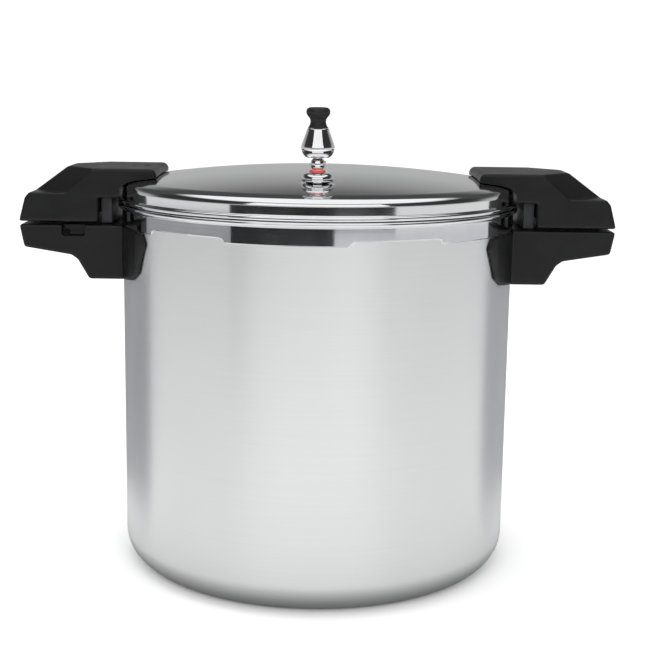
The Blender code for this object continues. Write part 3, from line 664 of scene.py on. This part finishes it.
def make_gasket():
    """The sealing ring, with a sealing lip along its lower inner edge."""
    profile = [
        (150.8, 305.7, 0.6), (154.2, 305.7, 0.8), (155.0, 304.6, 0.6), (155.0, 299.0, 0.9),
        (154.2, 297.9, 0.5), (152.9, 297.9, 0.4), (152.4, 299.6, 0.5), (151.8, 297.9, 0.3),
        (150.8, 297.9, 0.4),
    ]
    closed = fillet_path([(150.8, 301.5, 0)] + profile + [(150.8, 300.5, 0)], 15.0)
    mesh = revolve("gasket_fine", closed, even_angles(ROUND_STEPS), ring=True)
    gasket = new_object("gasket_ring", mesh, GASKET)
    flat_shading_fix(gasket)
    return finish_piece(gasket, "gasket", "gasket_rubber", "lid_gasket")


# ---- handles and brackets ----
KEPT_FACES = 0.35


def soften(name, node, voxel, passes, material):
    """A CAD piece with its edges rounded over: remeshed evenly, smoothed and thinned out again."""
    obj = new_object(name, NODES[node].data.copy())
    obj.data.materials.clear()
    obj.data.materials.append(material)
    remesh = obj.modifiers.new("remesh", "REMESH")
    remesh.mode = "VOXEL"
    remesh.voxel_size = voxel * MM
    remesh.adaptivity = 0.0
    smooth = obj.modifiers.new("smooth", "SMOOTH")
    smooth.factor = 0.5
    smooth.iterations = passes
    thin = obj.modifiers.new("thin", "DECIMATE")
    thin.ratio = KEPT_FACES
    apply_modifiers(obj)
    obj.data.shade_smooth()
    flat_shading_fix(obj)
    return obj


def make_handles():
    """Black grips on the lid and on the pot, with the castings that carry the lid's pair."""
    for side in ("left", "right"):
        lid_grip = soften("lid_grip_" + side, "lid_handle_" + side, 0.8, 8, PHENOLIC)
        finish_piece(lid_grip, "lid", "black_phenolic", "lid_handle_" + side)
        pot_grip = soften("pot_grip_" + side, "body_handle_" + side, 0.8, 8, PHENOLIC)
        finish_piece(pot_grip, "pot", "black_phenolic", "body_handle_" + side)
        bracket = soften("lid_casting_" + side, "lid_bracket_" + side, 0.6, 6, CASTING)
        finish_piece(bracket, "lid", "cast_aluminium", "lid_bracket_" + side)
        plate = soften("pot_plate_" + side, "body_bracket_" + side, 0.5, 2, STEEL)
        finish_piece(plate, "pot", "plain_steel", "body_bracket_" + side)


# ---- fasteners ----
SCREW_HEAD = 3.6
SCREW_HEAD_HEIGHT = 2.4
THREAD_RADIUS = 1.95
THREAD_ROOT = 1.6
THREAD_PITCH = 1.0
RECESS = (3.6, 0.9, 2.4)    # one arm of the cross in a screw's head
RIVET_SHANK = 2.4
RIVET_HEAD = 4.2
RIVET_HEAD_HEIGHT = 1.6
RIVET_TAIL = 3.7
RIVET_TAIL_HEIGHT = 1.4


def make_screw(name, node, body):
    """A pan-head screw that points up, with a cross recess and a rolled thread."""
    low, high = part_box(node)
    axis = axis_of(node)
    bottom = low.z / MM
    top = high.z / MM
    seat = bottom + SCREW_HEAD_HEIGHT
    plain_shank = 3.0
    profile = [(0, top, 0), (1.3, top, 0.2), (1.9, top - 1.0, 0)]
    height = top - 1.4
    while height > seat + plain_shank:
        profile += [(THREAD_RADIUS, height, 0), (THREAD_ROOT, height - THREAD_PITCH * 0.5, 0)]
        height -= THREAD_PITCH
    profile += [
        (THREAD_RADIUS, height, 0), (THREAD_RADIUS, seat, 0.2), (SCREW_HEAD, seat, 0.2),
        (SCREW_HEAD, seat - 1.0, 0.6), (2.5, bottom, 0.8), (0, bottom, 0),
    ]
    mesh = revolve(name, fillet_path(profile, 15.0), even_angles(32), axis=axis)
    screw = new_object(name, mesh, STEEL)
    recess = []
    for turn in (0.0, math.pi / 2):
        bm = bmesh.new()
        bmesh.ops.create_cube(bm, size=1.0)
        bmesh.ops.scale(bm, verts=bm.verts, vec=Vector(RECESS) * MM)
        bmesh.ops.rotate(bm, verts=bm.verts, matrix=Matrix.Rotation(turn, 3, "Z"))
        bmesh.ops.translate(bm, verts=bm.verts, vec=(axis[0] * MM, axis[1] * MM, bottom * MM))
        cross = bpy.data.meshes.new("recess")
        bm.to_mesh(cross)
        bm.free()
        recess.append(cross)
    cut_holes(screw, recess)
    flat_shading_fix(screw)
    finish_piece(screw, body, "plain_steel", node)


def rivet_mesh(name, shank, tail):
    """A rivet along its own Z with its domed head below zero."""
    profile = [(0, shank, 0), (RIVET_SHANK, shank, 0.2)]
    if tail:
        profile = [
            (0, shank + RIVET_TAIL_HEIGHT, 0), (2.4, shank + 1.2, 0.5), (RIVET_TAIL, shank + 0.5, 0.4),
            (RIVET_TAIL, shank, 0.1), (RIVET_SHANK, shank, 0),
        ]
    profile += [(RIVET_SHANK, 0, 0), (RIVET_HEAD, 0, 0.1)]
    for degrees in range(80, -1, -10):
        turn = math.radians(degrees)
        profile.append((RIVET_HEAD * math.sin(turn), -RIVET_HEAD_HEIGHT * math.cos(turn), 0))
    return revolve(name, fillet_path(profile, 15.0), even_angles(32))


def make_rivets(side, sign):
    """Rivets of one pair of handles, on the axes of their CAD nodes."""
    for number in (1, 2):
        node = "body_rivet_%s_%d" % (side, number)
        low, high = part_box(node)
        inner, outer = (low.x, high.x) if sign > 0 else (high.x, low.x)
        seat = inner + sign * RIVET_HEAD_HEIGHT * MM
        foot = Vector((seat, (low.y + high.y) / 2, (low.z + high.z) / 2))
        shank = abs(outer - inner) / MM - RIVET_HEAD_HEIGHT - RIVET_TAIL_HEIGHT
        mesh = rivet_mesh("pot_rivet_%s_%d" % (side, number), shank, True)
        turn = Vector((sign, 0, 0)).to_track_quat("Z", "Y").to_matrix().to_4x4()
        mesh.transform(Matrix.Translation(foot) @ turn)
        rivet = new_object("pot_rivet_%s_%d" % (side, number), mesh, STEEL)
        finish_piece(rivet, "pot", "plain_steel", node)
        node = "lid_rivet_%s_%d" % (side, number)
        low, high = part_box(node)
        middle = (low + high) / 2
        radius = math.hypot(middle.x, middle.y) / MM
        slope = math.atan(2 * DOME_SAG * radius / DOME_SAG_RADIUS**2)
        outward = Vector((middle.x, middle.y, 0)).normalized()
        normal = outward * math.sin(slope) + Vector((0, 0, math.cos(slope)))
        length = (high.z - low.z) / MM - RIVET_HEAD_HEIGHT
        mesh = rivet_mesh("lid_rivet_fine_%s_%d" % (side, number), length, False)
        turn = normal.to_track_quat("Z", "Y").to_matrix().to_4x4()
        foot = middle - normal * (length - RIVET_HEAD_HEIGHT) / 2 * MM
        mesh.transform(Matrix.Translation(foot) @ turn)
        rivet = new_object("lid_rivet_fine_%s_%d" % (side, number), mesh, STEEL)
        finish_piece(rivet, "lid", "plain_steel", node)


def make_fasteners():
    """The screws under all four grips and the rivets of their plates and castings."""
    for side, sign in (("left", -1), ("right", 1)):
        for number in (1, 2):
            make_screw("lid_grip_screw_%s_%d" % (side, number), "lid_screw_%s_%d" % (side, number), "lid")
            make_screw("pot_grip_screw_%s_%d" % (side, number), "body_screw_%s_%d" % (side, number), "pot")
        make_rivets(side, sign)


# ---- vent, regulator and safety fittings ----
SMALL_STEPS = 96
BALL_RADIUS = 5.45
BALL_MIDDLE = 335.0
PIPE_RADIUS = 4.0
PIPE_BORE = 1.5
NUT_RADIUS = 9.2            # of the nut's corners


def turned_piece(name, node, body, slot, material, profile, ring=False):
    """A small turned piece on the axis of its CAD node."""
    mesh = revolve(name, profile, even_angles(SMALL_STEPS), ring=ring, axis=axis_of(node))
    piece = new_object(name, mesh, material)
    flat_shading_fix(piece)
    return finish_piece(piece, body, slot, node)


def make_vent():
    """The vent pipe with its ball, the clamping base, its red seal and the nut inside."""
    ball = []
    for degrees in range(38, 136, 7):
        turn = math.radians(degrees)
        ball.append((BALL_RADIUS * math.sin(turn), BALL_MIDDLE + BALL_RADIUS * math.cos(turn)))
    tip = [(PIPE_BORE, 346.0, 0.2), (2.2, 346.0, 0.3), (3.3, 341.2, 1.0), (3.4, 339.4, 0.3)]
    tube = [(3.9, 331.0, 0.4), (PIPE_RADIUS, 330.4, 0.3), (PIPE_RADIUS, 305.0, 0.4), (PIPE_BORE, 305.0, 0.2)]
    pipe = fillet_path(tip, 15.0) + ball + fillet_path(tube, 15.0)
    turned_piece("vent_tube", "vent_pipe", "lid", "chromed_steel", CHROME, pipe, ring=True)
    outer = [(8.2, 328.4), (10.4, 327.4), (11.6, 325.8), (12.0, 324.2), (11.5, 322.8), (9.9, 321.6)]
    base = [(4.3, 328.0), (4.5, 328.3), (8.0, 328.4)]
    base += smooth_path(outer, 5)
    base += [(8.9, 321.1), (8.8, 321.0), (4.4, 321.0), (4.3, 321.2)]
    turned_piece("vent_clamp_base", "vent_base", "lid", "chromed_steel", CHROME, base, ring=True)
    seal = fillet_path(
        [
            (4.3, 330.2, 0), (4.3, 330.4, 0.1), (5.6, 330.4, 0.5), (6.2, 329.4, 0.5), (6.2, 328.7, 0.2),
            (4.3, 328.3, 0),
        ],
        15.0,
    )
    turned_piece("vent_red_seal", "vent_seal", "lid", "red_silicone", RED, seal, ring=True)
    low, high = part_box("vent_nut")
    bottom, top = low.z / MM, high.z / MM
    axis = axis_of("vent_nut")
    mesh = prism_mesh("vent_hex_nut", NUT_RADIUS, bottom, top, axis, sides=6)
    nut = new_object("vent_hex_nut", mesh, STEEL)
    bevel = nut.modifiers.new("round_edges", "BEVEL")
    bevel.width = 0.5 * MM
    bevel.segments = 3
    cut_holes(nut, [prism_mesh("bore", VENT_HOLE, bottom - 5, top + 5, axis)])
    nut.data.shade_smooth()
    nut.data.set_sharp_from_angle(angle=math.radians(40))
    flat_shading_fix(nut)
    finish_piece(nut, "lid", "plain_steel", "vent_nut")


def make_regulator():
    """The weight and its cap."""
    side = [
        (8.2, 360.6), (9.0, 358.0), (10.2, 354.6), (11.4, 351.2), (12.3, 348.4), (12.5, 346.4),
        (12.0, 344.2), (10.9, 342.2), (9.4, 340.5), (8.0, 339.8),
    ]
    socket = [
        (7.0, 339.7, 0), (6.0, 339.7, 0.3), (5.9, 341.0, 0.4), (4.2, 343.0, 0.6), (4.2, 349.5, 0.4),
    ]
    weight = [(0, 352.5), (3.2, 352.5), (3.6, 352.8), (3.6, 361.0), (3.8, 361.2), (7.5, 361.2), (7.9, 361.05)]
    weight += smooth_path(side, 6) + fillet_path(socket) + [(0, 349.5)]
    turned_piece("regulator_body", "regulator_weight", "regulator", "chromed_steel", CHROME, weight)
    crown = [(0, 376.8), (3.6, 376.75), (6.4, 376.5), (8.1, 375.6), (8.9, 373.8), (8.6, 371.6), (7.2, 369.6)]
    neck = [(6.1, 368.2), (5.8, 366.4), (6.1, 364.4), (6.9, 362.6), (7.6, 361.8)]
    stem = [(7.6, 361.55), (7.4, 361.5), (3.4, 361.5), (3.3, 361.3), (3.3, 353.2), (3.1, 353.0), (0, 353.0)]
    cap = smooth_path(crown, 5) + smooth_path(neck, 5) + stem
    turned_piece("regulator_knob", "regulator_cap", "regulator", "cap_phenolic", CAP, cap)


def make_safety_fittings():
    """The over-pressure plug, and the lock pin with its seal."""
    axis = axis_of("overpressure_plug")
    seat = dome_height(math.hypot(*axis))
    plug = fillet_path(
        [
            (0, 3.0, 0), (2.0, 3.0, 0), (4.6, 2.9, 1.2), (5.8, 2.0, 0.8), (5.8, 0.7, 0.4), (3.6, 0.7, 0.3),
            (3.6, -4.4, 0.4), (3.2, -6.2, 0.8), (0, -6.2, 0),
        ],
        12.0,
    )
    plug = [(r, z + seat) for r, z in plug]
    turned_piece("pressure_plug", "overpressure_plug", "plug", "black_rubber", BLACK_RUBBER, plug)
    seat = dome_height(math.hypot(*axis_of("lock_pin")))
    seal = fillet_path(
        [
            (2.2, 2.5, 0), (2.2, 2.6, 0.1), (4.6, 2.6, 0.6), (5.0, 1.3, 0.3), (3.6, 1.3, 0.2),
            (3.6, -6.2, 0.2), (4.6, -6.4, 0.3), (4.6, -7.4, 0.4), (2.2, -7.4, 0),
        ],
        15.0,
    )
    seal = [(r, z + seat) for r, z in seal]
    turned_piece("pin_seal", "lock_pin_seal", "lid", "red_silicone", RED, seal, ring=True)
    pin = fillet_path(
        [
            (0, 7.6, 0), (1.8, 7.6, 0.5), (1.8, -12.8, 0.3), (3.4, -12.9, 0.3), (3.4, -14.2, 0.4),
            (0, -14.2, 0),
        ],
        15.0,
    )
    pin = [(r, z + seat) for r, z in pin]
    turned_piece("locking_pin", "lock_pin", "pin", "plain_steel", STEEL, pin)


# ---- rack ----
def make_rack():
    """The perforated rack, pressed from sheet with rolled hole edges."""
    low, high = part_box("canning_rack")
    edge = high.x / MM
    top = high.z / MM
    bottom = low.z / MM
    sheet = 1.6
    profile = [
        (0, top, 0), (40, top, 0), (80, top, 0), (edge, top, 4.0), (edge, bottom, 0.6),
        (edge - sheet, bottom, 0.6), (edge - sheet, top - sheet, 2.4), (80, top - sheet, 0),
        (40, top - sheet, 0), (0, top - sheet, 0),
    ]
    mesh = revolve("rack_fine", fillet_path(profile, 10.0), even_angles(180))
    rack = new_object("jar_rack", mesh, SHEET)
    middle_hole = 20.0
    hole_rings = ((6, 58.0, 14.0), (12, 104.0, 9.0))
    holes = [prism_mesh("hole", middle_hole, 10, 30)]
    for count, ring_radius, hole_radius in hole_rings:
        for index in range(count):
            angle = math.tau * index / count
            axis = (ring_radius * math.cos(angle), ring_radius * math.sin(angle))
            holes.append(prism_mesh("hole", hole_radius, 10, 30, axis))
    cut_holes(rack, holes)
    rack.data.shade_smooth()
    sharp = math.radians(50)
    rack.data.set_sharp_from_angle(angle=sharp)
    bevel = rack.modifiers.new("round_edges", "BEVEL")
    bevel.width = 0.35 * MM
    bevel.segments = 2
    bevel.limit_method = "ANGLE"
    bevel.angle_limit = sharp
    flat_shading_fix(rack)
    return finish_piece(rack, "rack", "rack_aluminium", "canning_rack")


make_pot()
make_lid()
make_gasket()
make_handles()
make_fasteners()
make_vent()
make_regulator()
make_safety_fittings()
make_rack()


# ---- camera, floor and light ----
# From here on in metres, but the lens and the sensor are in millimetres and directions in degrees.
CAMERA_LENS = 74.2
CAMERA_SENSOR = 36.0
CAMERA_PLACE = (0.0071, -1.103, 0.402)
CAMERA_TILT = 79.32
CAMERA_ROLL = 0.81
FLOOR_RADIUS = 9.0
FLOOR_HEIGHT = -0.0002
FLOOR_COLOUR = (0.95, 0.95, 0.95)
FLOOR_SHADE = (0.04, 0.04, 0.042)
FLOOR_DIM = 0.37            # share of the shade in a reflection of the open floor
FLOOR_DIM_UNDER = 0.44      # added to it close to the pot, as painted contact shade
DIM_START = 0.155           # where that addition begins to fade, from the pot's axis
DIM_END = 0.205
BACK_SKY = [
    (-30, 0.46), (-2, 0.46), (9, 0.45), (13, 0.38), (17, 0.29), (20, 0.16), (24, 0.07), (42, 0.06), (50, 1.0),
]
FRONT_SKY = [(-30, 0.60), (2, 0.60), (7, 0.22), (11, 0.04), (42, 0.03), (52, 1.0)]
MATT_LIGHT = 1.12           # white that the camera and matt surfaces see
WINDOW_LIGHT = 1.0          # bright window in front, seen only in reflections
WINDOW_LOW = 9.0
WINDOW_HIGH = 40.0
WINDOW_HALF_WIDTH = 41.0


def add_camera():
    """The camera, in front of the canner and a little above it."""
    data = bpy.data.cameras.new("camera")
    data.lens = CAMERA_LENS
    data.sensor_width = CAMERA_SENSOR
    camera = bpy.data.objects.new("camera", data)
    bpy.context.scene.collection.objects.link(camera)
    camera.matrix_world = (
        Matrix.Translation(CAMERA_PLACE)
        @ Matrix.Rotation(math.radians(CAMERA_TILT), 4, "X")
        @ Matrix.Rotation(math.radians(CAMERA_ROLL), 4, "Z")
    )
    bpy.context.scene.camera = camera


def add_floor():
    """A pale matt floor with painted shade where it shows in reflections, deepest close to the pot."""
    s = Shader("pale_floor", FLOOR_COLOUR, 0.8, 0.0, Specular_IOR_Level=0.0)
    path = s.tree.nodes.new("ShaderNodeLightPath")
    under = s.spread(s.distance_from_axis(), 1.0, 0.0, DIM_START, DIM_END)
    dim = s.math("ADD", s.math("MULTIPLY", under, FLOOR_DIM_UNDER), FLOOR_DIM)
    # Painted shade: reflections of the floor are darkened, most of all close to the pot.
    s.colour(s.math("MULTIPLY", path.outputs["Is Glossy Ray"], dim), FLOOR_COLOUR, FLOOR_SHADE)
    bpy.ops.mesh.primitive_circle_add(
        vertices=96, radius=FLOOR_RADIUS, fill_type="NGON", location=(0, 0, FLOOR_HEIGHT)
    )
    floor = bpy.context.object
    floor.name = "floor"
    floor.data.materials.append(s.material)


def add_softbox(name, place, target, size, power):
    """An area light that faces a target and shows neither to the camera nor in reflections."""
    data = bpy.data.lights.new(name, "AREA")
    data.shape = "RECTANGLE"
    data.size, data.size_y = size
    data.energy = power
    light = bpy.data.objects.new(name, data)
    bpy.context.scene.collection.objects.link(light)
    place = Vector(place)
    turn = (Vector(target) - place).to_track_quat("-Z", "Y").to_matrix().to_4x4()
    light.matrix_world = Matrix.Translation(place) @ turn
    light.visible_camera = False
    light.visible_glossy = False


def add_flag(name, distance, start, end, low, high, shade):
    """A curved upright card, seen only in reflections, that darkens part of the studio.

    Its ends are directions from the front, positive to the right.
    """
    s = Shader(name, (shade, shade, shade), 0.9, 0.0, Specular_IOR_Level=0.0)
    cloud = s.noise(s.scaled(4.0, 4.0, 4.0))
    dark = (shade * 0.93, shade * 0.95, shade)
    light = (shade, shade * 1.02, shade * 1.06)
    s.colour(s.spread(cloud, 0.0, 1.0), dark, light)
    bm = bmesh.new()
    columns = []
    column_width = 4
    count = max(2, round(abs(end - start) / column_width))
    for number in range(count + 1):
        angle = math.radians(start + (end - start) * number / count)
        x = distance * math.sin(angle)
        y = -distance * math.cos(angle)
        columns.append((bm.verts.new((x, y, low)), bm.verts.new((x, y, high))))
    for left, right in zip(columns, columns[1:]):
        bm.faces.new((left[0], right[0], right[1], left[1]))
    mesh = bpy.data.meshes.new(name)
    bm.to_mesh(mesh)
    bm.free()
    card = new_object(name, mesh, s.material)
    card.visible_camera = False
    card.visible_diffuse = False
    card.visible_shadow = False
    card.visible_transmission = False


def ramp(tree, source, stops):
    """A grey ramp over elevation in degrees, from a source that holds its sine, moved to 0..1."""
    node = tree.nodes.new("ShaderNodeValToRGB")
    node.color_ramp.interpolation = "LINEAR"
    tree.links.new(source, node.inputs["Fac"])
    elements = node.color_ramp.elements
    while len(elements) < len(stops):
        elements.new(0.5)
    for element, (degrees, level) in zip(elements, stops):
        element.position = math.sin(math.radians(degrees)) * 0.5 + 0.5
        element.color = (level, level, level * 1.01, 1.0)
    return node.outputs["Color"]


def blend_colours(tree, factor, first, second):
    """Blend two colours or node outputs by a factor from 0 to 1."""
    node = tree.nodes.new("ShaderNodeMix")
    node.data_type = "RGBA"
    tree.links.new(factor, node.inputs["Factor"])
    feed(tree, first, node.inputs["A"])
    feed(tree, second, node.inputs["B"])
    return node.outputs["Result"]


def add_world():
    """Plain white for the camera and for matt surfaces; a dim studio with one window for gloss."""
    world = bpy.data.worlds.new("studio")
    bpy.context.scene.world = world
    world.use_nodes = True
    world.cycles.sampling_method = "NONE"
    tree = world.node_tree
    coordinates = tree.nodes.new("ShaderNodeTexCoord")
    axes = tree.nodes.new("ShaderNodeSeparateXYZ")
    tree.links.new(coordinates.outputs["Generated"], axes.inputs[0])
    lift = tree.nodes.new("ShaderNodeMath")
    lift.operation = "MULTIPLY_ADD"
    lift.inputs[1].default_value = 0.5
    lift.inputs[2].default_value = 0.5
    tree.links.new(axes.outputs["Z"], lift.inputs[0])
    behind = ramp(tree, lift.outputs[0], BACK_SKY)
    front = ramp(tree, lift.outputs[0], FRONT_SKY)
    side = tree.nodes.new("ShaderNodeMapRange")
    side.interpolation_type = "SMOOTHSTEP"
    side.inputs["From Min"].default_value = 0.5
    side.inputs["From Max"].default_value = 0.2
    tree.links.new(axes.outputs["Y"], side.inputs["Value"])
    studio = blend_colours(tree, side.outputs[0], behind, front)
    forward = math_node(tree, "MAXIMUM", math_node(tree, "MULTIPLY", axes.outputs["Y"], -1.0), 0.001)
    sideways = math_node(tree, "DIVIDE", math_node(tree, "ABSOLUTE", axes.outputs["X"]), forward)
    above = math_node(tree, "GREATER_THAN", axes.outputs["Z"], math.sin(math.radians(WINDOW_LOW)))
    below = math_node(tree, "LESS_THAN", axes.outputs["Z"], math.sin(math.radians(WINDOW_HIGH)))
    within = math_node(tree, "LESS_THAN", sideways, math.tan(math.radians(WINDOW_HALF_WIDTH)))
    window = math_node(tree, "MULTIPLY", math_node(tree, "MULTIPLY", above, below), within)
    bright = (WINDOW_LIGHT, WINDOW_LIGHT, WINDOW_LIGHT, 1.0)
    studio = blend_colours(tree, window, studio, bright)
    path = tree.nodes.new("ShaderNodeLightPath")
    white = (MATT_LIGHT, MATT_LIGHT, MATT_LIGHT, 1.0)
    final = blend_colours(tree, path.outputs["Is Glossy Ray"], white, studio)
    tree.links.new(final, tree.nodes["Background"].inputs["Color"])


add_camera()
add_floor()
add_world()
add_softbox("front_softbox", (0.0, -2.2, 1.15), (0, 0, 0.3), (2.2, 0.9), 30.0)
add_softbox("top_softbox", (-0.3, 0.2, 2.4), (0, 0, 0.2), (1.6, 1.2), 12.0)
add_flag("front_flag_upper", 1.5, -47, 42, 0.140, 0.30, 0.012)
add_flag("front_flag_lower", 1.5, -46, 9, 0.05, 0.140, 0.015)
add_flag("left_front_flag", 1.5, -112, -46, 0.05, 0.16, 0.22)
add_flag("right_front_flag", 1.5, 9, 112, 0.05, 0.139, 0.42)
add_flag("right_flag", 0.30, 89, 165, 0.001, 0.24, 0.42)
add_flag("left_flag", 0.30, -165, -86, 0.001, 0.24, 0.38)

bpy.context.scene.view_settings.view_transform = "Standard"
